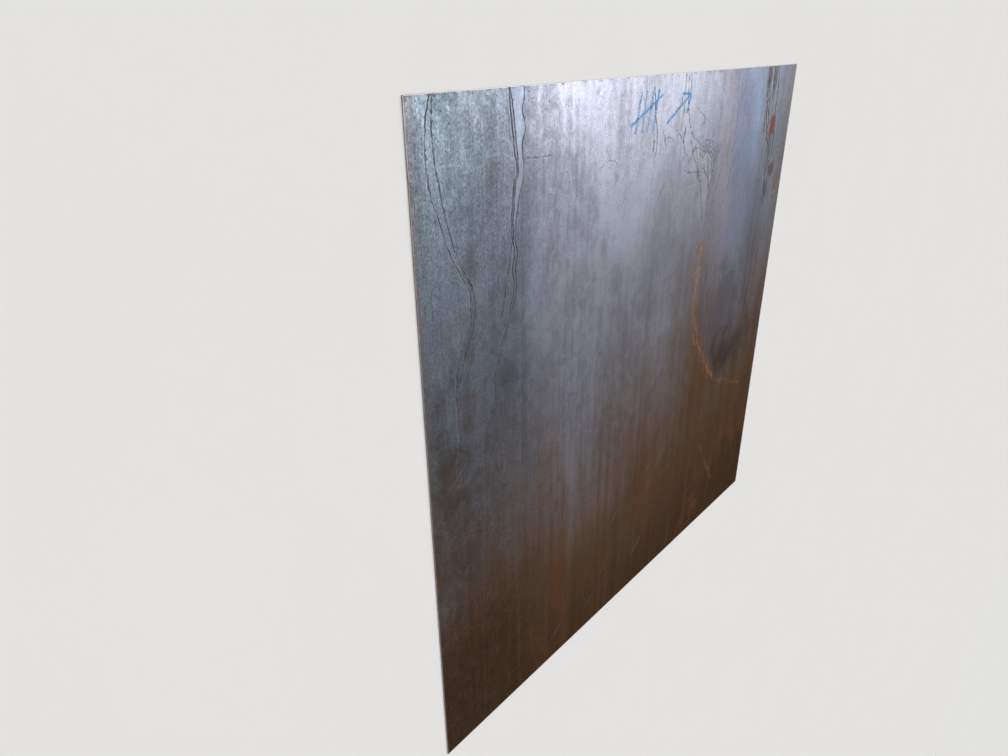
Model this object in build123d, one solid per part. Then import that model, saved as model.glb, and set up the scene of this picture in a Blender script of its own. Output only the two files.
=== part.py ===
"""Hot-rolled steel plate, a nearly square piece cut from wide mill sheet and stored flat.

The plate is one solid. Its rolling direction runs along Y. X is the width that the mill rolled,
and Y is the length that the piece was cut to. Z = 0 is the underside that rests on the floor, and
the origin is below the middle of the plate.

What sets it apart from a plain slab is its cut edges. A blade that shears plate leaves three bands
through the thickness: a small rounded rollover where it first pressed, a bright upright burnished
band, and a rougher slanting break that ends at the far face. The two long edges were slit with the
rollover up. The two ends were sheared one after the other, so the piece was the held sheet at one
end and the falling drop at the other: one end has its rollover up, and the other has it down. Its
four corners are blunted a little by handling.
"""

import os

from build123d import *

# Overall size, in millimetres
plate_width = 1500.0
plate_length = 1430.0
plate_thickness = 3.0

# Sheared edge, measured from the face that the blade met
rollover_radius = 0.4
burnished_band = 1.1
break_setback = 0.2

# Corners seen from above
corner_radius = 1.5


def sheared_edge(half_span, rollover_up):
    """Lines of one cut edge at +half_span, in order from the top face to the underside."""
    depth_of_break = rollover_radius + burnished_band
    face, lip, crack, foot = (
        (half_span - rollover_radius, 0.0),
        (half_span, rollover_radius),
        (half_span, depth_of_break),
        (half_span - break_setback, plate_thickness),
    )
    if rollover_up:
        face, lip, crack, foot = [(x, plate_thickness - depth) for x, depth in (face, lip, crack, foot)]
    rollover = TangentArc(face, lip, tangent=(1.0, 0.0))
    burnish = Line(lip, crack)
    slanting_break = Line(crack, foot)
    lines = [rollover, burnish, slanting_break]
    ends = [face, foot]
    return (lines, ends) if rollover_up else (lines[::-1], ends[::-1])


def cut_section(span, left_rollover_up, right_rollover_up):
    """Face of the plate's section between two cut edges, drawn with the span level and height up."""
    right_lines, (right_top, right_bottom) = sheared_edge(span / 2, right_rollover_up)
    left_lines, (left_top, left_bottom) = sheared_edge(span / 2, left_rollover_up)
    mirrored = [line.mirror(Plane.YZ) for line in left_lines]
    top_face = Line((-left_top[0], plate_thickness), (right_top[0], plate_thickness))
    underside = Line((right_bottom[0], 0.0), (-left_bottom[0], 0.0))
    return make_face([top_face, *right_lines, underside, *mirrored[::-1]])


def steel_plate():
    """The whole plate: the slit section run along Y, cut by the sheared section run along X."""
    reach = plate_width + plate_length
    slit_section = Plane.XZ * cut_section(plate_width, left_rollover_up=True, right_rollover_up=True)
    end_section = Plane.YZ * cut_section(plate_length, left_rollover_up=False, right_rollover_up=True)
    outline = RectangleRounded(plate_width, plate_length, corner_radius)
    slit_bar = extrude(slit_section, amount=reach / 2, both=True)
    sheared_bar = extrude(end_section, amount=reach / 2, both=True)
    blank = extrude(outline, amount=plate_thickness)
    return slit_bar & sheared_bar & blank


os.makedirs("parts", exist_ok=True)
plate = steel_plate()
plate.label = "steel_plate"
export_step(plate, "parts/steel_plate.step")
print("steel_plate", "volume", round(plate.volume), "size", plate.bounding_box().size)
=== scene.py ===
"""Looks of a hot-rolled steel plate that lies flat: mill scale, sheared edges, rust and a chalk mark."""

import math
import random

import bpy
import numpy as np
from mathutils import Matrix, Vector, noise


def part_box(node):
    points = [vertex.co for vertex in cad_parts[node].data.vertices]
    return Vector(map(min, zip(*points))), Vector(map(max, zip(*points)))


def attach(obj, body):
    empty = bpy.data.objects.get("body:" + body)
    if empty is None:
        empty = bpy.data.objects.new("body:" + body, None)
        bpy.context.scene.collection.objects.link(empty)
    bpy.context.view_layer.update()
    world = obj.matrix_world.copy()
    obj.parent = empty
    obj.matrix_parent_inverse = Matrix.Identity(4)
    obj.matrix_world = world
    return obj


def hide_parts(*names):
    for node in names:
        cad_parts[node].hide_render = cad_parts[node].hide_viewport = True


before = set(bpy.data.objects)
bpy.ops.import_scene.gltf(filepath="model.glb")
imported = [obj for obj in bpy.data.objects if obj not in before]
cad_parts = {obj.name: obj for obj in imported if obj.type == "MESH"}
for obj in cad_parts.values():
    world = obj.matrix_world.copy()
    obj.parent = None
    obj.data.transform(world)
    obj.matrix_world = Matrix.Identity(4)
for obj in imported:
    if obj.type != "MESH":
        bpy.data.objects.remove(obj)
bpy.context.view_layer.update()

MM = 0.001
ZERO = (0.0, 0.0, 0.0)
ONE = (1.0, 1.0, 1.0)

# The plate. Its left edge is at -X, and the end that carries the chalk mark is at +Y
plate_high = Vector(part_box("steel_plate")[1])
half_width = plate_high.x
half_length = plate_high.y
thickness = plate_high.z

# Its sheared edges
rollover = 0.4 * MM
burnished_band = 1.1 * MM
break_setback = 0.2 * MM
corner_radius = 1.5 * MM

# Their steps in the mesh: along a side, round a corner, and from the edge to the face's flat middle
edge_step = 2.5 * MM
ARC_STEPS = 4
RIM_INSETS = [9 * MM, 4 * MM, 1.5 * MM, 0.8 * MM]
GRID_INSET = 30 * MM
GRID_ROWS, GRID_COLUMNS = 46, 48

# Directions outwards of the four sides, anticlockwise from the far end
SIDES = [(0.0, -1.0), (1.0, 0.0), (0.0, 1.0), (-1.0, 0.0)]

# Dents and nicks in the edges: side, millimetres from the side's middle, half length, depth and height,
# with the share of their depth that reaches into the faces, and the depth of the break's roughness
NICKS = [(3, 210, 5.0, 0.9, 2.6), (3, -395, 3.5, 1.2, 2.0), (3, -590, 8.0, 0.6, 2.8),
         (3, 520, 3.0, 0.7, 2.5), (0, 300, 4.0, 0.8, 2.2), (0, -455, 6.0, 1.0, 2.7),
         (1, 60, 5.0, 0.8, 2.6), (1, -380, 3.0, 1.0, 1.8), (2, 480, 4.0, 0.7, 2.6),
         (2, -250, 6.0, 0.6, 2.4), (2, -640, 3.0, 0.9, 2.7)]
NICK_ON_FACE = 0.25
BREAK_ROUGHNESS = 0.10 * MM

# The chalk mark: the step along a stroke, the crumbs tried at each step, and how far they spread
CRUMB_STEP = 0.55 * MM
CRUMBS_AT_A_STEP = 6
STROKE_SPREAD = 2.0 * MM

# Material slots of the plate, and their shares of its flat map: bands, and a strip for each edge
TOP, UNDER, EDGE = 0, 1, 2
MAP_BANDS = {TOP: (0.285, 0.997), UNDER: (0.055, 0.275)}
MAP_STRIP = 0.010
MAP_MARGIN = 0.003

# Tints of the mill scale and of what lies on it
SCALE_TEAL = (0.29, 0.37, 0.44)
SCALE_SKY = (0.235, 0.30, 0.42)
SCALE_LILAC = (0.42, 0.435, 0.52)
SCALE_GREY = (0.28, 0.29, 0.32)
SCALE_VIOLET = (0.25, 0.28, 0.40)
SCALE_ROSE = (0.33, 0.32, 0.38)
CRACK_DARK = (0.030, 0.031, 0.034)
CRACK_BROWN = (0.050, 0.035, 0.026)
BROWN_FILM = (0.092, 0.052, 0.024)
DUST_GREY = (0.14, 0.12, 0.11)
RED_FILM = (0.115, 0.048, 0.022)
TAN_FILM = (0.130, 0.070, 0.034)
UMBER = (0.048, 0.025, 0.012)
RUST_ORANGE = (0.38, 0.19, 0.065)
RUST_BROWN = (0.17, 0.075, 0.035)
RUST_RED = (0.20, 0.070, 0.045)
DRIP_DARK = (0.045, 0.034, 0.028)
PALE_LIP = (0.42, 0.45, 0.50)
BRIGHT_STEEL = (0.46, 0.45, 0.43)
CHALK_BLUE = (0.030, 0.17, 0.42)
CHALK_PALE = (0.10, 0.34, 0.62)
FLOOR_PALE = (0.80, 0.79, 0.77)
BACKDROP = (0.768, 0.762, 0.747)

# The light all round: from beyond the far end, from the other sides, and its shade overhead
DIM_SIDE = (0.17, 0.145, 0.12)
LIT_SIDE = (0.54, 0.56, 0.60)
SHADE_OVERHEAD = (0.34, 0.32, 0.31)

# The window: its azimuth and elevation in degrees, its half breadth and half height, and its light
WINDOW = (7.0, 42.0, 0.41, 0.26)
WINDOW_LIGHT = (10.0, 10.0, 10.0)

# The noise that moves a crack strays by about 0.3, so this makes its wander come out in millimetres
REACH_OF_WANDER = 3.4


def from_corner(across, along):
    """Place on the top face, given in millimetres from the left edge and from the marked end."""
    return (across * MM - half_width, half_length - along * MM)


# Lines are points in millimetres from the left edge and from the marked end.
# Cracks in the scale near the left edge: the left line and the right line of each pair
LEFT_CRACK = (
    [(56, 0), (44, 35), (38, 95), (44, 153), (58, 190), (77, 250), (96, 285), (112, 312), (124, 337)],
    [(63, 0), (56, 20), (56, 92), (65, 147), (80, 215), (104, 280), (122, 312), (133, 340)],
)
LEFT_CRACK_LOW = (
    [(107, 300), (125, 337), (127, 384), (109, 423), (88, 475), (83, 512)],
    [(121, 308), (140, 372), (135, 401), (120, 431), (99, 484), (89, 512)],
)
LEFT_CRACK_END = [(86, 505), (81, 530), (84, 579), (85, 623), (78, 665), (74, 715)]
LEFT_CRACK_SIDE = [(113, 320), (131, 360), (134, 400), (127, 439), (120, 477), (98, 511)]
MIDDLE_CRACK = (
    [(238, 0), (242, 38), (248, 78), (252, 112), (258, 140), (250, 160), (245, 200), (241, 245), (249, 293),
     (243, 322), (247, 352), (239, 385), (230, 412)],
    [(240, 0), (250, 43), (256, 86), (261, 125), (262, 142), (254, 162), (250, 200), (246, 247), (257, 292),
     (251, 322), (254, 352), (246, 388), (232, 414)],
)
SIDE_CRACK = [(277, 0), (279, 15), (274, 35), (281, 70), (273, 98), (277, 145), (266, 180), (257, 215)]
SIDE_CRACK_LOW = [(257, 215), (253, 250), (253, 270), (257, 292)]
FADING_CRACK = [(231, 414), (215, 451), (200, 489), (187, 527), (190, 580)]
LEFT_SQUIGGLE = [(36, 300), (34, 350), (37, 400), (33, 437), (37, 470), (31, 505)]

# Cracks in the scale near the right edge
RIGHT_CRACK = [(1136, 0), (1130, 50), (1146, 115), (1142, 170), (1130, 225), (1137, 278), (1116, 335),
               (1066, 367), (1035, 396)]
RIGHT_CRACK_TWO = [(1244, 192), (1184, 200), (1154, 228), (1134, 265), (1130, 300)]
RIGHT_CRACK_THREE = [(1142, 0), (1149, 40), (1156, 82), (1155, 140), (1148, 185)]

# Fine cracks: a web of them near the right edge, and those round the chalk mark
WEB = [
    [(867, 0), (869, 43), (884, 99), (898, 130), (940, 160), (1002, 190), (1022, 214), (1026, 250)],
    [(871, 120), (870, 168), (905, 193), (961, 218), (1011, 261), (1019, 330)],
    [(1006, 178), (1001, 216), (1021, 275), (1026, 328), (1014, 390)],
    [(930, 150), (960, 205), (952, 238), (975, 270), (990, 330)],
    [(1058, 195), (1034, 239), (1030, 300), (1022, 380)],
    [(900, 150), (922, 190), (960, 240), (984, 300), (1004, 372)],
    [(1085, 240), (1060, 300), (1040, 350), (1026, 410)],
]
MARK_CRACKS = [
    [(852, 0), (852, 30), (849, 45), (841, 64), (856, 78), (850, 100), (846, 122)],
    [(717, 24), (724, 57), (731, 90), (743, 131), (737, 172)],
    [(715, 112), (729, 146), (716, 170)],
    [(826, 120), (860, 148), (877, 175)],
    [(764, 118), (778, 140), (784, 160)],
    [(876, 0), (880, 39), (872, 80)],
]

# Lines that run across the plate
LEVEL_LINES = [
    [(290, 122), (318, 125), (358, 126)],
    [(510, 182), (535, 165), (560, 159), (582, 168), (596, 188)],
    [(777, 138), (799, 136), (826, 156)],
    [(882, 220), (913, 230), (957, 233), (985, 241)],
    [(919, 78), (952, 98), (994, 120)],
    [(1396, 233), (1440, 226), (1474, 233)],
    [(936, 172), (975, 186), (1004, 196), (1032, 226)],
]

# Rust that has run along the scale's lines
RUST_RUN = [(1022, 422), (1016, 470), (1012, 531), (1009, 575), (1010, 625), (1031, 676), (1061, 735),
            (1080, 765), (1112, 796), (1149, 849), (1186, 892)]
RUST_RUN_SIDE = [(1003, 430), (996, 480), (992, 540), (994, 600), (1012, 670), (1045, 740)]
RUST_TAIL = [(1190, 895), (1230, 912), (1276, 926), (1326, 951), (1393, 980)]
RUST_RUN_LOW = [(1146, 1112), (1168, 1143), (1198, 1187), (1232, 1243), (1278, 1306)]
RIGHT_STREAK = [(1384, 440), (1390, 500), (1396, 560), (1392, 620), (1400, 690), (1408, 770)]

# Dark drips from the marked end, near the right edge
DRIPS = [
    [(1324, 2), (1316, 34), (1330, 78), (1320, 118), (1332, 160)],
    [(1346, 2), (1352, 52), (1340, 96), (1350, 150), (1344, 205)],
    [(1366, 2), (1386, 60), (1387, 122), (1399, 187), (1403, 224), (1389, 261), (1377, 297), (1389, 362)],
    [(1315, 61), (1328, 114), (1348, 182), (1377, 240), (1372, 277), (1374, 330)],
]


class Wiring:
    """Adds nodes to one tree and links them. A socket given as a value is linked, and a number is set."""

    def __init__(self, tree):
        self.tree = tree

    def feed(self, socket, value):
        if isinstance(value, bpy.types.NodeSocket):
            self.tree.links.new(value, socket)
        elif socket.type == "RGBA":
            socket.default_value = (*value, 1.0)
        else:
            socket.default_value = value

    def add(self, kind, inputs=None, **settings):
        node = self.tree.nodes.new(kind)
        for name, value in settings.items():
            setattr(node, name, value)
        for name, value in (inputs or {}).items():
            self.feed(node.inputs[name], value)
        return node

    def math(self, operation, a, b=0.0, c=0.0):
        return self.add("ShaderNodeMath", {0: a, 1: b, 2: c}, operation=operation).outputs[0]

    def plus(self, a, b):
        return self.math("ADD", a, b)

    def minus(self, a, b):
        return self.math("SUBTRACT", a, b)

    def size(self, value):
        """The value without its sign."""
        return self.math("ABSOLUTE", value)

    def apart(self, a, b):
        """How far two values are from each other."""
        return self.size(self.minus(a, b))

    def scaled(self, value, factor, start):
        """A start, and a value times a factor added to it."""
        return self.math("MULTIPLY_ADD", value, factor, start)

    def times(self, *factors):
        product = factors[0]
        for factor in factors[1:]:
            product = self.math("MULTIPLY", product, factor)
        return product

    def split(self, vector):
        return self.add("ShaderNodeSeparateXYZ", {"Vector": vector}).outputs

    def place(self, scale=ONE, move=ZERO, turn=ZERO, start=None, kind="POINT"):
        """Place on the object in metres, or another place given as start, scaled, turned and moved."""
        start = start or self.add("ShaderNodeTexCoord").outputs["Object"]
        inputs = {"Vector": start, "Location": move, "Rotation": turn, "Scale": scale}
        return self.add("ShaderNodeMapping", inputs, vector_type=kind).outputs[0]

    def gradient(self, vector, kind="LINEAR"):
        """A value from 0 to 1: along X, or as SPHERICAL from 1 at the middle down to 0 at a distance of 1."""
        return self.add("ShaderNodeTexGradient", {"Vector": vector}, gradient_type=kind).outputs["Fac"]

    def noise(self, place, scale=1.0, detail=3.0, roughness=0.55, distortion=0.0, dimensions="2D"):
        """Noise over the surface, or as 3D through the solid, or as 1D along one value."""
        inputs = {"W" if dimensions == "1D" else "Vector": place, "Scale": scale, "Detail": detail,
                  "Roughness": roughness, "Distortion": distortion}
        return self.add("ShaderNodeTexNoise", inputs, noise_dimensions=dimensions).outputs["Fac"]

    def cells(self, place):
        """Distance to the nearest of many scattered points, and three numbers at random for each."""
        inputs = {"Vector": place, "Scale": 1.0}
        outputs = self.add("ShaderNodeTexVoronoi", inputs, voronoi_dimensions="2D").outputs
        chances = self.add("ShaderNodeSeparateColor", {"Color": outputs["Color"]}).outputs
        return outputs["Distance"], chances

    def between(self, value, low, high, to_low=0.0, to_high=1.0):
        """Smooth step of value from low to high, which may run backwards."""
        inputs = {"Value": value, "From Min": low, "From Max": high, "To Min": to_low, "To Max": to_high}
        return self.add("ShaderNodeMapRange", inputs, interpolation_type="SMOOTHSTEP", clamp=False).outputs[0]

    def blend(self, amount, a, b, way="MIX"):
        node = self.add("ShaderNodeMix", data_type="RGBA", blend_type=way)
        colours = [socket for socket in node.inputs if socket.type == "RGBA"]
        self.feed(node.inputs[0], amount)
        self.feed(colours[0], a)
        self.feed(colours[1], b)
        return next(socket for socket in node.outputs if socket.type == "RGBA")

    def level(self, amount, a, b):
        """A number that goes from a to b with amount."""
        return self.add("ShaderNodeMix", {0: amount, 2: a, 3: b}).outputs[0]

    def ramp(self, value, stops):
        """A colour for each value, from stops of place and colour."""
        node = self.add("ShaderNodeValToRGB", {"Fac": value})
        node.color_ramp.interpolation = "EASE"
        elements = node.color_ramp.elements
        while len(elements) < len(stops):
            elements.new(0.5)
        for element, (place, colour) in zip(elements, stops):
            element.position = place
            element.color = (*colour, 1.0)
        return node.outputs["Color"]


def effect(inputs):
    """Makes a node group with named inputs from the function that wires it. The function is given the
    group's wiring and inputs, and returns its outputs by name."""
    def build(wire):
        tree = bpy.data.node_groups.new(wire.__name__.replace("_", " "), "ShaderNodeTree")
        for label, value in inputs.items():
            kind = "NodeSocketVector" if isinstance(value, tuple) else "NodeSocketFloat"
            tree.interface.new_socket(label, in_out="INPUT", socket_type=kind).default_value = value
        w = Wiring(tree)
        outputs = wire(w, w.add("NodeGroupInput").outputs)
        for label in outputs:
            tree.interface.new_socket(label, in_out="OUTPUT", socket_type="NodeSocketFloat")
        w.add("NodeGroupOutput", outputs)
        return tree
    return build


@effect({"Seed": ZERO, "Fineness": (160.0, 2.2, 1.0)})
def rolling_streaks(w, given):
    """Fine streaks that the rolls draw along Y."""
    place = w.place(given["Fineness"], given["Seed"])
    broad = w.noise(place, 0.35, 2.0)
    fine = w.noise(w.place((1.0, 3.0, 1.0), start=place), 2.2, 3.0, 0.7)
    return {"Streaks": w.plus(w.times(broad, 0.55), w.times(fine, 0.45))}


@effect({"Seed": ZERO, "Scale": (5.0, 2.5, 1.0), "Detail": 5.0})
def clouds(w, given):
    """Soft patches, longer along the rolling direction than across it."""
    place = w.place(given["Scale"], given["Seed"])
    return {"Clouds": w.noise(place, 1.0, given["Detail"], 0.6, 0.6)}


@effect({"Seed": ZERO, "Scale": (120.0, 120.0, 120.0), "Largest": 0.17})
def pits(w, given):
    """Small dark dots at random, each of its own size."""
    distance, (chance, _, _) = w.cells(w.place(given["Scale"], given["Seed"]))
    radius = w.times(given["Largest"], w.math("POWER", chance, 4.0))
    return {"Pits": w.between(distance, w.plus(radius, 0.05), radius)}


@effect({"Seed": ZERO, "Scale": (75.0, 75.0, 1.0), "Share": 0.3})
def dried_drops(w, given):
    """Small rings that drops left where they dried, here and there."""
    distance, (chance, size, _) = w.cells(w.place(given["Scale"], given["Seed"]))
    ring = w.between(w.apart(distance, w.scaled(size, 0.12, 0.13)), 0.075, 0.025)
    return {"Rings": w.times(ring, w.math("LESS_THAN", chance, given["Share"]))}


@effect({"Seed": ZERO, "Scale": (5.0, 2.2, 1.0), "Thinness": 60.0})
def tide_lines(w, given):
    """Thin wandering outlines, such as scale leaves where it has cracked or water has dried."""
    height = w.noise(w.place(given["Scale"], given["Seed"]), 1.0, 4.0, 0.6, 1.2)
    line = w.minus(1.0, w.times(w.apart(height, 0.5), given["Thinness"]))
    return {"Line": w.math("MAXIMUM", line, 0.0)}


@effect({"Place": 0.0, "Wander": 0.0, "Breaks": 1.0, "There": 1.0, "Left": 0.0, "Right": 0.0,
         "Line": 0.0012, "Reach": 0.007, "Depth": 0.8})
def scale_crack(w, given):
    """Two thin lines that wander along their routes, the stretch between them, and a pale lip outside."""
    across = w.scaled(given["Wander"], given["Reach"], given["Place"])
    weight = w.times(w.between(given["Breaks"], 0.3, 0.6, 0.35, 1.0), given["There"], given["Depth"])
    to_left = w.minus(across, given["Left"])
    to_right = w.minus(across, given["Right"])
    nearest = w.math("MINIMUM", w.size(to_left), w.size(to_right))
    line = w.between(nearest, w.times(given["Line"], 1.7), w.times(given["Line"], 0.4))
    inside = w.times(w.between(to_left, -MM, MM), w.between(to_right, MM, -MM), given["There"])
    off_lip = w.size(w.plus(to_left, w.times(given["Line"], 2.4)))
    lip = w.times(w.between(off_lip, w.times(given["Line"], 2.0), 0.0), weight, 0.35)
    return {"Crack": w.times(line, weight), "Inside": inside, "Lip": lip}


@effect({"Place": 0.0, "Wander": 0.0, "Ragged": 0.0, "Grain": 0.5, "There": 1.0, "Route": 0.0,
         "Breadth": 0.008, "Broken": 0.5, "Amount": 0.8})
def run_of_rust(w, given):
    """A soft broken run along a route, strongest at its middle."""
    grain, breadth = given["Grain"], given["Breadth"]
    stray = w.scaled(given["Wander"], 3.0, given["Ragged"])
    across = w.scaled(stray, w.times(breadth, 1.6), given["Place"])
    distance = w.apart(across, given["Route"])
    amount = w.times(given["There"], given["Amount"])
    kept = w.between(grain, w.times(given["Broken"], 0.8), w.scaled(given["Broken"], 0.8, 0.22))
    run = w.times(w.between(distance, w.times(breadth, 1.5), 0.0), w.between(grain, 0.2, 0.6))
    core = w.between(distance, w.times(breadth, 0.55), 0.0)
    return {"Run": w.times(run, amount, 0.6), "Core": w.times(core, kept, amount)}


@effect({"Centre": ZERO, "Reach": (0.1, 0.1, 1.0), "Ragged": 0.0, "Raggedness": 1.5, "Softness": 0.6,
         "Amount": 1.0})
def stain(w, given):
    """A soft patch with a ragged outline, about a centre."""
    place = w.place(given["Reach"], given["Centre"], kind="TEXTURE")
    inward = w.gradient(w.place((0.5, 0.5, 0.0), start=place), "SPHERICAL")
    distance = w.scaled(given["Ragged"], given["Raggedness"], w.scaled(inward, -2.0, 2.0))
    mask = w.between(distance, 1.0, w.minus(1.0, given["Softness"]))
    return {"Mask": w.times(mask, given["Amount"])}


@effect({"Seed": ZERO, "Turn": (0.0, 0.0, 0.6), "Density": 0.5})
def scratches(w, given):
    """Thin straight scratches in one direction, each of a limited length."""
    place = w.place((230.0, 5.0, 1.0), given["Seed"], start=w.place(turn=given["Turn"]))
    edge = w.between(given["Density"], 0.0, 1.0, 0.86, 0.68)
    return {"Scratches": w.between(w.noise(place, 1.0, 1.0, 0.5), edge, w.plus(edge, 0.035))}


class Finish:
    """A surface's colour, roughness, metallic and height in millimetres, which each coat changes in turn."""

    def __init__(self, name, colour, roughness, metallic):
        self.material = bpy.data.materials.new(name)
        self.material.use_nodes = True
        self.material.node_tree.nodes.clear()
        self.w = Wiring(self.material.node_tree)
        self.x = self.share((0.5 / half_width, 1.0, 1.0), 0.0, 2 * half_width)
        self.y = self.share((1.0, 0.5 / half_length, 1.0), -math.pi / 2, 2 * half_length)
        self.wander = self.w.minus(self.clouds((60.0, 60.0, 1.0), 61.0, 3.0), 0.5)
        self.breaks = self.clouds((55.0, 55.0, 1.0), 67.0, 2.0)
        self.ragged = self.w.minus(self.clouds((15.0, 12.0, 1.0), 71.0, 5.0), 0.5)
        self.colour = colour
        self.roughness = roughness
        self.metallic = metallic
        self.height = 0.0

    def share(self, scale, turn, breadth):
        """A coordinate of the plate in metres, from its middle."""
        place = self.w.place(scale, (0.5, 0.0, 0.0), (0.0, 0.0, turn))
        return self.w.scaled(self.w.gradient(place), breadth, -breadth / 2)

    def effect(self, group, **inputs):
        """The outputs of an effect's group, placed with its own values."""
        return self.w.add("ShaderNodeGroup", inputs, node_tree=group).outputs

    def clouds(self, scale=(5.0, 2.5, 1.0), seed=0.0, detail=5.0):
        return self.effect(clouds, Seed=(seed, 0.0, 0.0), Scale=scale, Detail=detail)["Clouds"]

    def streaks(self, seed=0.0, fineness=(160.0, 2.2, 1.0)):
        return self.effect(rolling_streaks, Seed=(0.0, seed, 0.0), Fineness=fineness)["Streaks"]

    def tide(self, seed, scale, thinness):
        return self.effect(tide_lines, Seed=(seed, 0.0, 0.0), Scale=scale, Thinness=thinness)["Line"]

    def cover(self, amount, colour, roughness=None, metallic=None, height=None):
        """Lays a coat over the finish, which changes only what is given for it."""
        self.colour = self.w.blend(amount, self.colour, colour)
        for name, value in (("roughness", roughness), ("metallic", metallic), ("height", height)):
            if value is not None:
                setattr(self, name, self.w.level(amount, getattr(self, name), value))

    def shade(self, amount, shadow):
        """Multiplies the colour by a shadow's colour."""
        self.colour = self.w.blend(amount, self.colour, shadow, "MULTIPLY")

    def done(self):
        given = {"Specular IOR Level": 0.0, "Base Color": self.colour, "Roughness": self.roughness,
                 "Metallic": self.metallic}
        shader = self.w.add("ShaderNodeBsdfPrincipled", given)
        relief = self.w.add("ShaderNodeBump", {"Height": self.height, "Strength": 1.0, "Distance": MM})
        self.w.feed(shader.inputs["Normal"], relief.outputs[0])
        self.w.add("ShaderNodeOutputMaterial", {"Surface": shader.outputs[0]})
        return self.material


def route(finish, points, level=False):
    """A line's place across the plate for each place along it, and where it exists. A level line runs
    across the plate, so its two directions change places."""
    spots = [from_corner(*point) for point in points]
    if level:
        spots = [(y, x) for x, y in spots]
    places, starts = zip(*spots)
    low, span = min(starts), max(starts) - min(starts)
    left, breadth = min(places) - MM, max(places) - min(places) + 2 * MM

    @effect({"Along": 0.0})
    def route_of_a_line(w, given):
        share = w.math("DIVIDE", w.minus(given["Along"], low), span)
        node = w.add("ShaderNodeFloatCurve", {"Value": share})
        curve = node.mapping.curves[0]
        knots = sorted(((start - low) / span, (place - left) / breadth) for place, start in spots)
        while len(curve.points) < len(knots):
            curve.points.new(0.5, 0.5)
        for point, knot in zip(curve.points, knots):
            point.location = knot
            point.handle_type = "AUTO"
        node.mapping.update()
        fade = 6 * MM / span
        there = w.times(w.between(share, -fade, fade), w.between(share, 1 + fade, 1 - fade))
        return {"Line": w.scaled(node.outputs[0], breadth, left), "There": there}

    return finish.effect(route_of_a_line, Along=finish.x if level else finish.y)


def crack_in_scale(finish, routes, line, wander, depth, tint=None, amount=0.0, level=False):
    """Masks of a crack and of its pale lip. The line and its wander are in millimetres. With two routes
    the crack is a pair of lines, with a tint between them."""
    lines = [route(finish, points, level) for points in routes]
    left, right = lines[0], lines[-1]
    masks = finish.effect(scale_crack, Place=finish.y if level else finish.x, Wander=finish.wander,
                          Breaks=finish.breaks, There=left["There"], Left=left["Line"], Right=right["Line"],
                          Line=line * MM, Reach=REACH_OF_WANDER * wander * MM, Depth=depth)
    if tint is not None:
        finish.cover(finish.w.times(masks["Inside"], amount), tint)
    return masks["Crack"], masks["Lip"]


def open_cracks(finish, masks, height=None):
    """Lightens the lips of all cracks of a list at once, and darkens the cracks."""
    crack, lip = masks[0]
    for next_crack, next_lip in masks[1:]:
        crack = finish.w.math("MAXIMUM", crack, next_crack)
        lip = finish.w.math("MAXIMUM", lip, next_lip)
    finish.cover(lip, PALE_LIP)
    finish.cover(crack, CRACK_DARK, 0.6, height=height)


def rust_along(finish, points, breadth, broken, amount, core, level=False):
    """A run of thin rust, its breadth in millimetres, with a core of its own tint."""
    line = route(finish, points, level)
    masks = finish.effect(run_of_rust, Place=finish.y if level else finish.x, Wander=finish.wander,
                          Ragged=finish.ragged, Grain=finish.breaks, There=line["There"],
                          Route=line["Line"], Breadth=breadth * MM, Broken=broken, Amount=amount)
    finish.cover(masks["Run"], RUST_BROWN, 0.62, 0.35)
    finish.cover(masks["Core"], core, 0.8, 0.05)


def spot(finish, across, along, wide, long, ragged, softness, amount):
    """Mask of a soft patch: mostly a stain, in places painted shade. Its centre is in millimetres from the
    left edge and the marked end, and its half width and half length are in millimetres."""
    centre = (*from_corner(across, along), 0.0)
    return finish.effect(stain, Centre=centre, Reach=(wide * MM, long * MM, 1.0), Softness=softness,
                         Amount=amount, Ragged=finish.ragged, Raggedness=3.0 * ragged)["Mask"]


def stains(finish, places, ragged, softness, roughness=None, metallic=None):
    """Patches of one kind, stains and in places painted light and shade, given as centre, half width, half
    length, tint and amount.
    """
    for across, along, wide, long, tint, amount in places:
        mask = spot(finish, across, along, wide, long, ragged, softness, amount)
        finish.cover(mask, tint, roughness, metallic)


def tint_bands(finish):
    """Soft bands of teal, lilac, rose and blue scale, which run along the plate and drift a little."""
    w = finish.w
    drift = w.minus(finish.clouds((3.0, 1.0, 1.0), 21.0, 3.0), 0.5)
    place = w.scaled(drift, 0.12, finish.x)
    share = w.math("DIVIDE", w.plus(place, half_width), 2 * half_width)
    bands = [(0, SCALE_GREY), (40, SCALE_TEAL), (190, (0.28, 0.34, 0.41)), (250, (0.31, 0.36, 0.45)),
             (370, SCALE_LILAC), (880, SCALE_LILAC), (1100, SCALE_ROSE), (1170, SCALE_VIOLET),
             (1270, SCALE_SKY), (1345, (0.20, 0.22, 0.28)), (1410, (0.21, 0.24, 0.31)),
             (1500, (0.20, 0.19, 0.21))]
    return w.ramp(share, [(across * MM / (2 * half_width), tint) for across, tint in bands])


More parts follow.
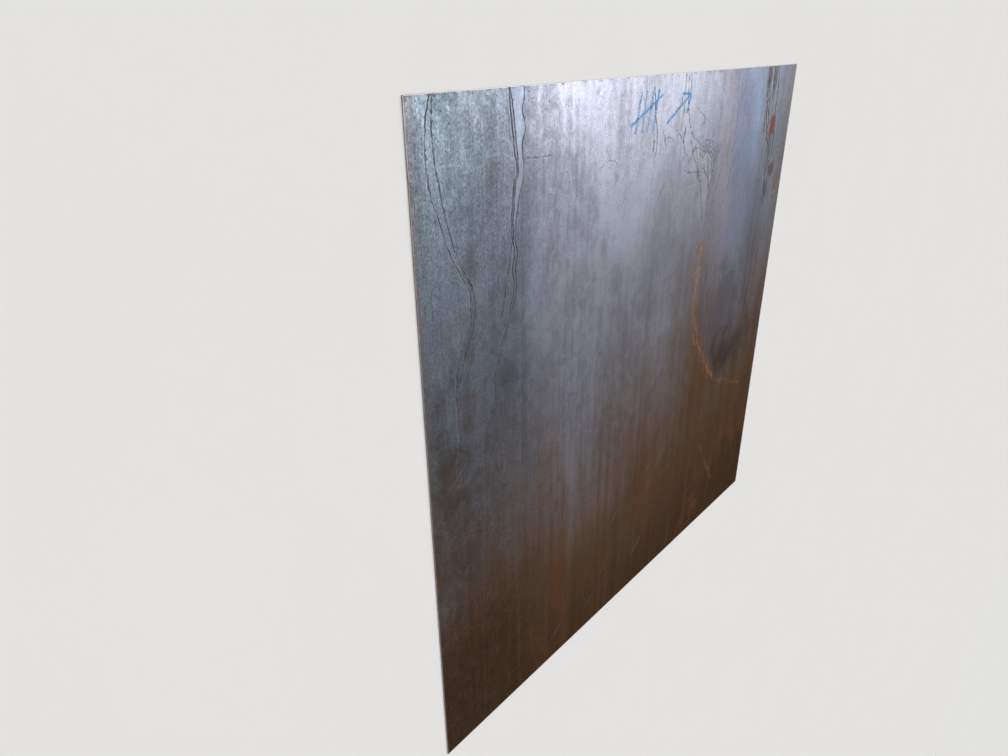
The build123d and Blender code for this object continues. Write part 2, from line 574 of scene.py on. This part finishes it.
def film_of_dirt_and_painted_shade(finish):
    """A brown film that thickens from the marked end to the far end, with darker and redder clouds, and
    painted shade over the corner at the far end by the left edge.
    """
    w = finish.w
    drift = w.minus(finish.clouds((2.6, 1.3, 1.0), 11.0, 4.0), 0.5)
    streaks = w.minus(finish.streaks(4.0, (90.0, 2.6, 1.0)), 0.5)
    along = w.scaled(drift, 0.5, finish.y)
    along = w.scaled(streaks, 0.35, along)
    along = w.scaled(finish.x, -0.17, along)
    finish.cover(w.times(w.between(along, 0.6, -0.1), 0.5), DUST_GREY, 0.42)
    film = w.between(along, 0.32, -0.36)
    finish.cover(w.times(film, 0.95), BROWN_FILM, 0.45, 0.1)
    finish.cover(w.times(w.between(along, -0.15, -0.75), 0.9), UMBER, 0.45, 0.08)
    red = w.between(finish.clouds((7.0, 3.5, 1.0), 31.0, 4.0), 0.5, 0.72)
    finish.cover(w.times(red, film, 0.55), RED_FILM, 0.5, 0.2)
    finish.cover(w.times(w.between(streaks, 0.05, 0.20), film, 0.35), TAN_FILM, 0.5, 0.1)
    # Painted shade darkens the corner at the far end, by the left edge.
    painted_shade_far_corner = spot(finish, 70, 1250, 240, 360, ragged=0.3, softness=0.9, amount=0.55)
    finish.cover(painted_shade_far_corner, (0.036, 0.020, 0.011), 0.45, 0.1)
    left_side = spot(finish, 55, 790, 105, 330, ragged=0.5, softness=0.9, amount=0.75)
    finish.cover(left_side, (0.083, 0.058, 0.045), 0.45, 0.3)


def dark_patch(finish):
    """A patch of violet scale that shows through the dirt, darkest at its lower end."""
    upper = spot(finish, 1195, 690, 150, 195, ragged=0.5, softness=0.6, amount=0.65)
    finish.cover(upper, (0.105, 0.092, 0.105), 0.4, 0.5)
    lower = spot(finish, 1300, 800, 215, 125, ragged=0.6, softness=1.0, amount=0.65)
    finish.cover(lower, (0.048, 0.034, 0.029), 0.45, 0.3)
    end = spot(finish, 1215, 825, 110, 72, ragged=0.7, softness=0.9, amount=0.6)
    finish.cover(end, (0.044, 0.031, 0.027), 0.45, 0.3)


def worn_rim(finish):
    """Scale that is rubbed and browned along the plate's sides."""
    w = finish.w
    side = w.minus(half_width, w.size(finish.x))
    end = w.minus(half_length, w.size(finish.y))
    rim = w.math("MINIMUM", side, end)
    reach = w.scaled(finish.wander, 30 * MM, 2 * MM)
    finish.cover(w.times(w.between(rim, reach, w.minus(reach, 4 * MM)), 0.5), RUST_BROWN, 0.6, 0.4)
    finish.cover(w.between(rim, 1.6 * MM, 0.6 * MM), BRIGHT_STEEL, 0.4, 0.9)


def drips(finish):
    """Dark drips that start at the marked end, near the right side, and the brown lines below them."""
    w = finish.w
    streaks = finish.streaks(17.0, (300.0, 5.0, 1.0))
    jags = finish.tide(9.0, (75.0, 22.0, 1.0), 6.0)
    marks = w.math("MAXIMUM", w.times(w.between(streaks, 0.46, 0.56), 0.6), jags)
    for place in [(1318, 20, 20, 50), (1316, 66, 15, 46), (1359, 36, 15, 70),
                  (1332, 120, 26, 60), (1384, 215, 30, 90), (1388, 345, 26, 60)]:
        region = spot(finish, *place, ragged=0.7, softness=0.6, amount=0.9)
        finish.cover(w.times(marks, region), DRIP_DARK, 0.5)
    for place in [(1384, 560, 60, 200), (1310, 610, 60, 120)]:
        region = spot(finish, *place, ragged=0.5, softness=0.6, amount=0.6)
        finish.cover(w.times(w.between(streaks, 0.50, 0.60), region), DRIP_DARK, 0.5)
    open_cracks(finish, [crack_in_scale(finish, [points], 2.8, 3.0, 0.85) for points in DRIPS])


def lost_scale(finish):
    """Small patches where the scale has come off and the steel has rusted."""
    places = [
        (1385, 150, 20, 34, RUST_RED, 0.75), (1403, 283, 27, 33, (0.11, 0.062, 0.045), 0.75),
        (1456, 330, 16, 34, (0.17, 0.095, 0.060), 0.55), (1466, 358, 6, 6, RUST_ORANGE, 0.8),
        (1381, 126, 6, 8, (0.34, 0.27, 0.24), 0.7),
    ]
    stains(finish, places, 0.9, 0.4, roughness=0.7, metallic=0.3)


def blooms(finish):
    """Broad stains and light clouds in the scale, and among them a painted shadow and a painted highlight."""
    places = [
        (105, 90, 75, 110, (0.37, 0.47, 0.53), 0.6), (150, 40, 60, 50, (0.34, 0.38, 0.42), 0.5),
        (60, 280, 50, 90, (0.31, 0.37, 0.44), 0.5), (215, 120, 40, 150, (0.30, 0.33, 0.40), 0.5),
        # Painted shadow: the narrow dark grey stain 192 mm from the left edge, near the marked end.
        (192, 100, 22, 160, (0.17, 0.16, 0.16), 0.3), (150, 620, 190, 400, (0.27, 0.29, 0.36), 0.75),
        (130, 290, 34, 65, (0.15, 0.13, 0.115), 0.55), (215, 290, 36, 110, (0.30, 0.33, 0.42), 0.5),
        (45, 400, 36, 120, (0.27, 0.31, 0.39), 0.5), (118, 455, 26, 140, (0.15, 0.12, 0.095), 0.5),
        (106, 610, 30, 150, (0.13, 0.11, 0.095), 0.5), (45, 660, 42, 190, (0.12, 0.095, 0.080), 0.55),
        # Partly lilac scale, partly a painted highlight: the bright pale lilac stain 325 mm from the left
        # edge, at the marked end.
        (325, 60, 55, 120, (0.50, 0.53, 0.62), 0.6), (190, 650, 55, 200, (0.28, 0.29, 0.33), 0.5),
        (1215, 100, 70, 190, (0.28, 0.32, 0.45), 0.6), (1225, 400, 85, 200, (0.29, 0.31, 0.38), 0.6),
        (1275, 110, 30, 110, (0.27, 0.35, 0.49), 0.6), (1000, 50, 150, 130, (0.35, 0.40, 0.50), 0.6),
        (1250, 590, 75, 110, (0.15, 0.13, 0.15), 0.5), (1060, 640, 60, 130, (0.15, 0.12, 0.11), 0.35),
        (215, 520, 40, 60, (0.10, 0.10, 0.12), 0.45), (55, 1120, 40, 190, (0.13, 0.125, 0.135), 0.45),
    ]
    stains(finish, places, 0.6, 0.9)


def cracks(finish):
    """Cracks in the scale, from the left edge to the right edge, as routes, line, wander and depth. The
    deep ones that are pairs have a tint between their lines, with its amount."""
    deep = [
        (LEFT_CRACK, 1.1, 2.2, 0.75, (0.30, 0.31, 0.31), 0.08),
        (LEFT_CRACK_LOW, 1.0, 2.5, 0.9, CRACK_BROWN, 0.12),
        ([MIDDLE_CRACK[1], SIDE_CRACK], 1.1, 1.5, 0.85, (0.36, 0.41, 0.52), 0.3),
        (MIDDLE_CRACK, 1.2, 1.5, 0.95, (0.13, 0.13, 0.14), 0.55),
        ([RIGHT_CRACK], 1.9, 2.5, 0.65),
    ]
    fine = [
        ([LEFT_CRACK_END], 1.1, 4.0, 0.75),
        ([LEFT_CRACK_SIDE], 0.9, 4.0, 0.7),
        ([LEFT_SQUIGGLE], 1.0, 5.0, 0.45),
        ([SIDE_CRACK_LOW], 1.0, 2.0, 0.6),
        ([FADING_CRACK], 1.2, 4.0, 0.7),
        ([RIGHT_CRACK_TWO], 1.7, 2.5, 0.5),
        ([RIGHT_CRACK_THREE], 1.4, 2.0, 0.4),
    ]
    fine += [([points], 1.7, 3.5, 0.78) for points in WEB]
    fine += [([points], 1.8, 3.5, 0.8) for points in MARK_CRACKS]
    open_cracks(finish, [crack_in_scale(finish, *crack) for crack in deep], height=-0.08)
    masks = [crack_in_scale(finish, *crack) for crack in fine]
    masks += [crack_in_scale(finish, [points], 1.2, 2.0, 0.6, level=True) for points in LEVEL_LINES]
    open_cracks(finish, masks)


def rust(finish):
    """Runs of rust, as route, breadth, how broken, amount and tint of the core. The tail runs across."""
    for run in [
        (RUST_RUN, 22.0, 0.45, 0.6, (0.23, 0.135, 0.080)),
        (RUST_RUN, 7.0, 0.52, 0.85, RUST_ORANGE),
        (RUST_RUN[:4], 6.0, 0.4, 0.7, (0.46, 0.36, 0.24)),
        (RUST_RUN_SIDE, 6.0, 0.55, 0.75, RUST_ORANGE),
        (RUST_TAIL, 5.0, 0.45, 0.6, (0.25, 0.13, 0.06), True),
        (RUST_RUN_LOW, 11.0, 0.62, 0.6, (0.24, 0.12, 0.05)),
        (RIGHT_STREAK, 14.0, 0.5, 0.8, RUST_BROWN),
    ]:
        rust_along(finish, *run)


def rolled_tone(finish, streaks, cloud, mottle):
    """Lighter and darker scale with more contrast on the right, its low waves, and how smooth it is."""
    w = finish.w
    tone = w.plus(w.times(streaks, 0.26), w.plus(w.times(cloud, 0.42), w.times(mottle, 0.32)))
    spread = w.between(finish.x, -0.2, 0.3, 0.11, 0.17)
    finish.shade(w.between(tone, w.plus(spread, 0.49), w.minus(0.49, spread)), (0.56, 0.56, 0.56))
    waves = finish.clouds((2.2, 1.1, 1.0), 41.0, 1.0)
    finish.height = w.scaled(waves, 0.6, w.times(streaks, 0.02))
    smooth = w.plus(w.times(streaks, 0.5), w.times(mottle, 0.5))
    finish.roughness = w.between(smooth, 0.3, 0.7, 0.44, 0.30)


def fine_shades(finish, grain, near_left):
    """Thin dark lines along the plate, grain near the left edge, and blotches there."""
    w = finish.w
    lines = finish.streaks(31.0, (420.0, 2.6, 1.0))
    finish.shade(w.times(w.between(lines, 0.53, 0.63), 0.32), (0.60, 0.59, 0.58))
    marked_end = w.between(finish.y, 0.25, 0.6, 0.7, 1.0)
    finish.shade(w.times(w.between(grain, 0.68, 0.36), near_left, marked_end), (0.62, 0.61, 0.60))
    blotches = w.times(w.between(finish.wander, 0.15, -0.12), w.between(finish.x, -0.25, -0.6), 0.45)
    finish.shade(blotches, (0.74, 0.72, 0.73))


def small_marks(finish, mottle, near_left):
    """Rings of dried drops, thin curls and pits, most of them near the marked end."""
    w = finish.w
    drops = w.times(finish.effect(dried_drops)["Rings"], w.between(finish.x, -0.44, -0.56),
                    w.between(finish.y, 0.25, 0.5), 0.6)
    finish.cover(drops, (0.11, 0.115, 0.12), 0.5)
    near_mark = w.between(finish.y, -0.1, 0.6, 0.15, 0.5)
    curls = finish.tide(2.0, (60.0, 48.0, 1.0), 16.0)
    curls = w.times(curls, w.between(mottle, 0.4, 0.6), near_mark, near_left)
    finish.cover(curls, (0.09, 0.09, 0.095))
    dots = w.times(finish.effect(pits)["Pits"], near_mark)
    finish.cover(dots, (0.04, 0.04, 0.042), 0.65, height=-0.03)


def mill_scale():
    """The top face: tinted scale with a painted shadow and a painted highlight among its stains, then the
    film of dirt with painted shade at its far corner, then the cracks, the drips and the rust.
    """
    finish = Finish("mill scale", SCALE_GREY, 0.36, 0.9)
    w = finish.w
    streaks = finish.streaks()
    cloud = finish.clouds(seed=3.0)
    mottle = finish.clouds((42.0, 32.0, 1.0), 8.0)
    grain = finish.clouds((330.0, 200.0, 1.0), 15.0, 2.0)
    finish.colour = tint_bands(finish)
    blooms(finish)
    rolled_tone(finish, streaks, cloud, mottle)
    film_of_dirt_and_painted_shade(finish)
    dark_patch(finish)
    near_left = w.between(finish.x, -0.35, -0.55, 0.45, 1.0)
    fine_shades(finish, grain, near_left)
    small_marks(finish, mottle, near_left)
    cracks(finish)
    web = finish.tide(6.0, (17.0, 9.0, 1.0), 22.0)
    web_region = spot(finish, 975, 215, 105, 110, ragged=0.6, softness=0.7, amount=0.65)
    finish.cover(w.times(web, web_region), CRACK_DARK, 0.6)
    drips(finish)
    lost_scale(finish)
    rust(finish)
    scratch = finish.effect(scratches, Turn=(0.0, 0.0, 0.9), Density=0.35)["Scratches"]
    finish.cover(w.times(scratch, 0.4), (0.36, 0.36, 0.38), 0.3)
    worn_rim(finish)
    return finish.done()


def mill_scale_under():
    """The underside: the same scale, duller, with fewer marks."""
    finish = Finish("mill scale, underside", SCALE_GREY, 0.4, 0.85)
    w = finish.w
    streaks = finish.streaks(50.0)
    cloud = finish.clouds(seed=53.0)
    tone = w.between(w.plus(w.times(streaks, 0.45), w.times(cloud, 0.55)), 0.32, 0.68)
    finish.colour = w.blend(tone, (0.12, 0.125, 0.135), (0.25, 0.27, 0.31))
    finish.roughness = w.between(streaks, 0.3, 0.7, 0.5, 0.36)
    finish.height = w.times(streaks, 0.02)
    film = w.between(finish.clouds((3.0, 1.5, 1.0), 57.0), 0.42, 0.66)
    finish.cover(w.times(film, 0.7), BROWN_FILM, 0.55, 0.5)
    bloom = w.between(finish.clouds((12.0, 11.0, 1.0), 61.0), 0.6, 0.72)
    finish.cover(w.times(bloom, 0.7), RUST_BROWN, 0.75, 0.2, 0.02)
    line = finish.tide(66.0, (4.0, 1.8, 1.0), 90.0)
    finish.cover(w.times(line, 0.35), CRACK_DARK, 0.6, height=-0.05)
    dots = finish.effect(pits, Seed=(70.0, 0.0, 0.0))["Pits"]
    finish.cover(w.times(dots, 0.7), (0.03, 0.03, 0.032), 0.65)
    worn_rim(finish)
    return finish.done()


def sheared_edge():
    """The cut edge: an upright brushed band, a grainy break, and brown rust over both."""
    finish = Finish("sheared edge", BRIGHT_STEEL, 0.35, 0.95)
    w = finish.w
    z = w.split(w.place())[2]
    around = w.plus(finish.x, finish.y)
    upright = w.noise(around, 900.0, 3.0, 0.6, dimensions="1D")
    grain = w.noise(w.place((1600.0, 1600.0, 1600.0)), 1.0, 4.0, 0.7, dimensions="3D")
    far_end = w.between(finish.y, -half_length + 2 * MM, -half_length + 0.5 * MM)
    depth = w.level(far_end, w.minus(thickness, z), z)
    rolled = w.between(depth, rollover * 1.1, rollover * 0.7)
    break_start = rollover + burnished_band
    broken = w.between(w.scaled(upright, 0.35 * MM, depth), break_start, break_start + 0.4 * MM)
    finish.cover(w.times(w.between(upright, 0.35, 0.65), 0.5), (0.30, 0.29, 0.28), 0.45)
    finish.height = w.times(upright, 0.02)
    torn = w.blend(w.between(grain, 0.35, 0.65), (0.13, 0.12, 0.11), (0.34, 0.32, 0.30))
    finish.cover(broken, torn, 0.6, 0.85, w.times(grain, 0.12))
    finish.cover(rolled, SCALE_GREY, 0.45, 0.9)
    patches = w.noise(w.place((26.0, 26.0, 300.0)), 1.0, 5.0, 0.65, dimensions="3D")
    browned = w.times(w.between(patches, 0.42, 0.62), 0.75)
    finish.cover(browned, w.blend(grain, RUST_BROWN, (0.30, 0.16, 0.08)), 0.75, 0.25)
    return finish.done()


def pale_floor():
    finish = Finish("pale floor", FLOOR_PALE, 0.9, 0.0)
    grain = finish.clouds((3.0, 2.0, 1.0), 0.0, 2.0)
    finish.cover(grain, [0.985 * part for part in FLOOR_PALE])
    return finish.done()


def chalk():
    finish = Finish("marking chalk", CHALK_BLUE, 0.95, 0.0)
    w = finish.w
    grain = w.noise(w.place((900.0, 900.0, 900.0)), 1.0, 3.0, 0.7)
    broad = w.noise(w.place((60.0, 60.0, 60.0)), 1.0, 3.0, 0.6)
    finish.cover(w.between(w.plus(w.times(grain, 0.5), w.times(broad, 0.5)), 0.35, 0.65), CHALK_PALE)
    finish.height = w.times(grain, 0.05)
    return finish.done()


def edge_profile(rollover_up):
    """Steps of the edge from the top face to the underside, as pairs of inset and height."""
    steps = [(rollover * (1 - math.sin(angle)), thickness - rollover * (1 - math.cos(angle)))
             for angle in np.linspace(0, math.pi / 2, 5)]
    lip = thickness - rollover
    crack = lip - burnished_band
    steps += [(0.0, height) for height in np.linspace(lip, crack, 4)[1:]]
    steps += [(break_setback * share, crack * (1 - share)) for share in np.linspace(0, 1, 7)[1:]]
    if not rollover_up:
        steps = [(inset, thickness - height) for inset, height in reversed(steps)]
    return steps


def ring_sections():
    """Steps of the section from the top face, round the edge, to the underside. Each is an inset and a
    height with the rollover up, and the same with the rollover down."""
    edge = [(*up, *down) for up, down in zip(edge_profile(True), edge_profile(False))]
    top = [(inset, thickness, inset, thickness) for inset in RIM_INSETS]
    under = [(inset, 0.0, inset, 0.0) for inset in reversed(RIM_INSETS)]
    return top + edge + under


def outline():
    """The plate's outline seen from above, anticlockwise, as rows of the side's number, the share along
    the side, and the unit direction outwards. A side starts and ends at the middles of its corners."""
    rows = []
    for side, outward in enumerate(SIDES):
        half = half_length if outward[0] else half_width
        count = round(2 * half / edge_step)
        straight = [(side, share, *outward) for share in np.linspace(0, 1, count + 1)]
        turn = [(side, 1.0, math.cos(angle), math.sin(angle))
                for angle in np.radians(-90 + 90 * side + 90 * np.arange(1, ARC_STEPS) / ARC_STEPS)]
        rows += straight + turn
    return np.array(rows)


def loop_at(rows, inset, radius):
    """The outline moved inwards by an inset, with corners of a given radius."""
    reach_x = half_width - inset - radius
    reach_y = half_length - inset - radius
    corners = np.array([(-1, -1), (1, -1), (1, 1), (-1, 1)]) * (reach_x, reach_y)
    side = rows[:, 0].astype(int)
    share = rows[:, 1:2]
    return corners[side] * (1 - share) + corners[(side + 1) % 4] * share + rows[:, 2:4] * radius


def worn_edge(rows, heights):
    """Extra inset from the nicks, and the roughness of the break, for each point of the outline."""
    side = rows[:, 0].astype(int)
    half = np.where(np.abs(rows[:, 2]) > 0.5, half_length, half_width)
    along = (rows[:, 1] * 2 - 1) * half
    nicked = np.zeros(len(rows))
    for nick_side, middle, reach, depth, height in NICKS:
        near = np.exp(-((along - middle * MM) / (reach * MM)) ** 2 * 1.5)
        level = np.exp(-((heights - height * MM) / (1.3 * MM)) ** 2)
        nicked += np.where(side == nick_side, near * level * depth * MM, 0)
    rough = np.array([noise.fractal(Vector((a * 130, s * 9.0, z * 900)), 0.8, 2.0, 3)
                      for a, s, z in zip(along, side, heights)])
    return nicked, rough


def ring(rows, far, section):
    """One ring of points round the plate at one step of the section, with the edge's wear."""
    inset_up, height_up, inset_down, height_down = section
    most = max(inset_up, inset_down)
    inset = inset_up + (inset_down - inset_up) * far
    height = height_up + (height_down - height_up) * far
    nicked, rough = worn_edge(rows, height)
    depth = np.where(far > 0.5, height, thickness - height)
    in_break = np.clip((depth - rollover - burnished_band) / (0.4 * MM), 0, 1) * (inset < 0.25 * MM)
    inset = inset + nicked * (1.0 if most <= rollover else NICK_ON_FACE)
    if 0 < height_up < thickness or 0 < height_down < thickness:
        inset = inset + np.abs(rough) * BREAK_ROUGHNESS * in_break
    reach = max(most, 0.1 * MM)
    outer = loop_at(rows, 0.0, corner_radius)
    inner = loop_at(rows, reach, max(corner_radius - most, 0.5 * MM))
    return np.column_stack([outer + (inner - outer) * (inset / reach)[:, None], height])


class Shell:
    """Gathers vertices and faces with their material's slot and their place on the flat map."""

    def __init__(self):
        self.points = []
        self.faces = []
        self.slots = []
        self.map = []

    def add_points(self, points):
        start = len(self.points)
        self.points += [tuple(point) for point in points]
        return np.arange(start, start + len(points))

    def add_face(self, corners, slot, places):
        self.faces.append([int(corner) for corner in corners])
        self.slots.append(slot)
        self.map += places

    def add_flat_face(self, corners, slot, flip=False):
        """A face of the top or the underside, whose place on the map is its place on the plate."""
        corners = corners[::-1] if flip else corners
        low, high = MAP_BANDS[slot]
        places = []
        for x, y, _ in (self.points[corner] for corner in corners):
            u = MAP_MARGIN + (1 - 2 * MAP_MARGIN) * (x + half_width) / (2 * half_width)
            places.append((u, low + (high - low) * (y + half_length) / (2 * half_length)))
        self.add_face(corners, slot, places)


def join_loops(shell, outer, outer_rows, inner, inner_rows, slot):
    """Fills between two loops of the same sides with different numbers of points."""
    ends = [len(SIDES), math.inf]
    outer_at = [*(outer_rows[:, 0] + outer_rows[:, 1]), *ends]
    inner_at = [*(inner_rows[:, 0] + inner_rows[:, 1]), *ends]
    i = j = 0
    while i < len(outer) or j < len(inner):
        a, b = outer[i % len(outer)], inner[j % len(inner)]
        if outer_at[i + 1] <= inner_at[j + 1]:
            i += 1
            face = [a, outer[i % len(outer)], b]
        else:
            j += 1
            face = [a, inner[j % len(inner)], b]
        shell.add_flat_face(face, slot, flip=slot == UNDER)


def middle_grid(shell, height, slot):
    """The flat middle of a face. Returns its border as a loop with its sides and shares."""
    xs = np.linspace(-half_width + GRID_INSET, half_width - GRID_INSET, GRID_COLUMNS + 1)
    ys = np.linspace(-half_length + GRID_INSET, half_length - GRID_INSET, GRID_ROWS + 1)
    ids = shell.add_points([(x, y, height) for y in ys for x in xs])
    ids = ids.reshape(GRID_ROWS + 1, GRID_COLUMNS + 1)
    for r in range(GRID_ROWS):
        for c in range(GRID_COLUMNS):
            face = [ids[r, c], ids[r, c + 1], ids[r + 1, c + 1], ids[r + 1, c]]
            shell.add_flat_face(face, slot, flip=slot == UNDER)
    border = np.concatenate([ids[0, :-1], ids[:-1, -1], ids[-1, :0:-1], ids[:0:-1, 0]])
    counts = [GRID_COLUMNS, GRID_ROWS] * 2
    rows = [(side, step / count) for side, count in enumerate(counts) for step in range(count)]
    return border, np.array(rows)


def join_rings(shell, rows, rings):
    """Faces from each ring to the next. Those of the edge lie on the map in one strip for each side."""
    top_last = len(RIM_INSETS)
    under_first = len(rings) - len(RIM_INSETS) - 1
    for step in range(len(rings) - 1):
        upper, lower = rings[step], rings[step + 1]
        for i in range(len(rows)):
            j = (i + 1) % len(rows)
            face = [upper[i], lower[i], lower[j], upper[j]]
            if step < top_last or step >= under_first:
                shell.add_flat_face(face, TOP if step < top_last else UNDER)
                continue
            side = int(rows[i, 0])
            end = rows[j, 1] if int(rows[j, 0]) == side else 1.0
            low = MAP_MARGIN + side * (MAP_STRIP + MAP_MARGIN)
            v = [low + MAP_STRIP * (under_first - s) / (under_first - top_last) for s in (step, step + 1)]
            u = [MAP_MARGIN + (1 - 2 * MAP_MARGIN) * share for share in (rows[i, 1], end)]
            shell.add_face(face, EDGE, [(u[0], v[0]), (u[0], v[1]), (u[1], v[1]), (u[1], v[0])])


def plate_mesh():
    rows = outline()
    shell = Shell()
    # Only the far end has its rollover down. Round its two corners the one section turns into the other
    far = np.clip(-rows[:, 3], 0, 1) ** 2
    rings = [shell.add_points(ring(rows, far, section)) for section in ring_sections()]
    join_rings(shell, rows, rings)
    for loop, height, slot in ((rings[0], thickness, TOP), (rings[-1], 0.0, UNDER)):
        border, border_rows = middle_grid(shell, height, slot)
        join_loops(shell, loop, rows, border, border_rows, slot)
    mesh = bpy.data.meshes.new("plate")
    mesh.from_pydata(shell.points, [], shell.faces)
    layer = mesh.uv_layers.new(name="OFBake")
    layer.data.foreach_set("uv", np.array(shell.map, dtype=np.float32).ravel())
    mesh.polygons.foreach_set("material_index", shell.slots)
    mesh.shade_smooth()
    mesh.set_sharp_from_angle(angle=math.radians(35))
    return mesh


def link(name, data):
    piece = bpy.data.objects.new(name, data)
    bpy.context.scene.collection.objects.link(piece)
    return piece


def build_plate():
    mesh = plate_mesh()
    for material in (mill_scale(), mill_scale_under(), sheared_edge()):
        mesh.materials.append(material)
    piece = link("plate", mesh)
    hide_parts("steel_plate")
    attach(piece, "root")


def build_floor():
    reach = 80.0
    mesh = bpy.data.meshes.new("floor")
    corners = [(-reach, -reach, 0.0), (reach, -reach, 0.0), (reach, reach, 0.0), (-reach, reach, 0.0)]
    mesh.from_pydata(corners, [], [(0, 1, 2, 3)])
    mesh.materials.append(pale_floor())
    link("floor", mesh)


def chalk_stroke(points):
    """Evenly spaced places along a stroke, with its direction at each."""
    spots = np.array([from_corner(*point) for point in points])
    lengths = np.linalg.norm(np.diff(spots, axis=0), axis=1)
    reach = np.concatenate([[0.0], np.cumsum(lengths)])
    at = np.arange(0.0, reach[-1], CRUMB_STEP)
    places = np.column_stack([np.interp(at, reach, spots[:, axis]) for axis in (0, 1)])
    return places, np.gradient(places, axis=0)


def chalk_strokes():
    """Strokes of a tally of five and of an arrow beside it, each with its weight."""
    tally = [[(664 + 24 * n + lean, 30), (656 + 24 * n, 76), (652 + 24 * n - lean, 116)]
             for n, lean in enumerate((3, 0, 4, 1))]
    slash = [(630, 98), (690, 72), (756, 40)]
    arrow = [(782, 104), (826, 78), (880, 48)]
    barbs = [[(842, 44), (882, 47)], [(884, 47), (869, 88)]]
    return [(points, 1.0) for points in tally + [slash]] + [(points, 1.15) for points in [arrow] + barbs]


def chalk_crumb(rng, centre, direction, sideways):
    """Corners of one flat crumb: the lower ring, which sinks into the scale, and the upper ring."""
    size = rng.uniform(0.35, 0.95) * MM
    sides = rng.randint(5, 7)
    turn = rng.uniform(0, math.pi)
    top = thickness + rng.uniform(0.02, 0.05) * MM
    lower, upper = [], []
    for side in range(sides):
        angle = turn + side * 2 * math.pi / sides
        reach = size * rng.uniform(0.65, 1.2)
        arm = direction * math.cos(angle) * reach * 1.6 + sideways * math.sin(angle) * reach
        lower.append((*(centre + arm), thickness - 0.05 * MM))
        upper.append((*(centre + arm * 0.85), top))
    return lower, upper


def crumbs_along(rng, number, points, weight):
    """Crumbs of one stroke. They are fewer where the chalk was pressed less, and off the scale's ridges."""
    crumbs = []
    for place, direction in zip(*chalk_stroke(points)):
        direction = direction / np.linalg.norm(direction)
        sideways = np.array([-direction[1], direction[0]])
        worn = 0.75 + 0.7 * noise.noise(Vector((place[0] * 50, place[1] * 50, number)))
        for _ in range(CRUMBS_AT_A_STEP):
            offset = rng.gauss(0, 1.0) * STROKE_SPREAD
            chance = rng.random()
            centre = place + sideways * offset + direction * rng.uniform(-1, 1) * MM
            ridge = 0.7 + 0.9 * noise.noise(Vector((*(centre * 300), 3.0)))
            if chance <= weight * worn * ridge:
                crumbs.append(chalk_crumb(rng, centre, direction, sideways))
    return crumbs


def build_chalk_mark():
    """The mark as flat crumbs of chalk left on the scale's high points."""
    rng = random.Random(5)
    verts, faces = [], []
    for number, (points, weight) in enumerate(chalk_strokes()):
        for lower, upper in crumbs_along(rng, number, points, weight):
            start, sides = len(verts), len(lower)
            verts += lower + upper
            faces.append([start + side for side in reversed(range(sides))])
            faces.append([start + sides + side for side in range(sides)])
            for side in range(sides):
                after = (side + 1) % sides
                faces.append([start + side, start + after, start + sides + after, start + sides + side])
    mesh = bpy.data.meshes.new("chalk_mark")
    mesh.from_pydata(verts, [], faces)
    mesh.materials.append(chalk())
    piece = link("chalk_mark", mesh)
    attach(piece, "root")


def toward(azimuth, elevation):
    """Unit vector towards a place in the room, in degrees."""
    flat = math.cos(math.radians(elevation))
    return Vector((flat * math.cos(math.radians(azimuth)), flat * math.sin(math.radians(azimuth)),
                   math.sin(math.radians(elevation))))


def room_light():
    """Even soft light with one bright window, dimmer on the side that the far end faces."""
    world = bpy.data.worlds.new("room")
    bpy.context.scene.world = world
    world.use_nodes = True
    w = Wiring(world.node_tree)
    direction = w.add("ShaderNodeTexCoord").outputs["Generated"]
    _, y, z = w.split(direction)
    sides = w.blend(w.between(y, -0.85, -0.08), DIM_SIDE, LIT_SIDE)
    sides = w.blend(w.between(z, 0.62, 0.28), sides, SHADE_OVERHEAD, "MULTIPLY")
    azimuth, elevation, half_breadth, half_height = WINDOW
    facing = toward(azimuth, elevation).to_track_quat("Z", "Y").to_euler()
    seen = w.place(turn=facing, start=direction, kind="TEXTURE")
    glow = w.gradient(w.place((1 / half_height, 1 / half_breadth, 0.0), start=seen), "SPHERICAL")
    ahead = w.between(w.split(seen)[2], 0.0, 0.2)
    light = w.blend(w.times(w.between(glow, 0.0, 1.0), ahead), sides, WINDOW_LIGHT, "ADD")
    path = w.add("ShaderNodeLightPath")
    # The camera sees the pale backdrop, and so does the metal, low down where the backdrop meets the floor
    in_metal = w.times(path.outputs["Is Glossy Ray"], w.between(z, 0.20, 0.08))
    shown = w.math("MAXIMUM", path.outputs["Is Camera Ray"], in_metal)
    w.feed(world.node_tree.nodes["Background"].inputs["Color"], w.blend(shown, light, BACKDROP))


def overhead_light():
    """A broad soft lamp, high up on the side away from the window."""
    lamp = bpy.data.lights.new("overhead", "SUN")
    lamp.energy = 1.2
    lamp.angle = math.radians(40)
    lamp.color = (1.0, 0.985, 0.96)
    piece = link("overhead", lamp)
    piece.rotation_euler = toward(150, 68).to_track_quat("Z", "Y").to_euler()


def camera():
    """Looks down on the plate from its left, near the marked end, turned about its own axis."""
    place = Vector((-1.4914, 0.7835, 0.8638))
    aim = Vector((-0.5357, 0.1768, 0.0030))
    roll = math.radians(110.13)
    focal_length_in_pixels, picture_width = 712.3, 1008
    forward = (aim - place).normalized()
    right = forward.cross(Vector((0, 0, 1))).normalized()
    up = right.cross(forward)
    turned_right = right * math.cos(roll) + up * math.sin(roll)
    turned_up = up * math.cos(roll) - right * math.sin(roll)
    lens = bpy.data.cameras.new("camera")
    lens.sensor_width = 36.0
    lens.lens = lens.sensor_width * focal_length_in_pixels / picture_width
    lens.clip_start = 0.01
    piece = link("camera", lens)
    turn = Matrix((turned_right, turned_up, -forward)).transposed().to_4x4()
    piece.matrix_world = Matrix.Translation(place) @ turn
    bpy.context.scene.camera = piece


build_plate()
build_chalk_mark()
build_floor()
room_light()
overhead_light()
camera()
bpy.context.scene.view_settings.view_transform = "Standard"
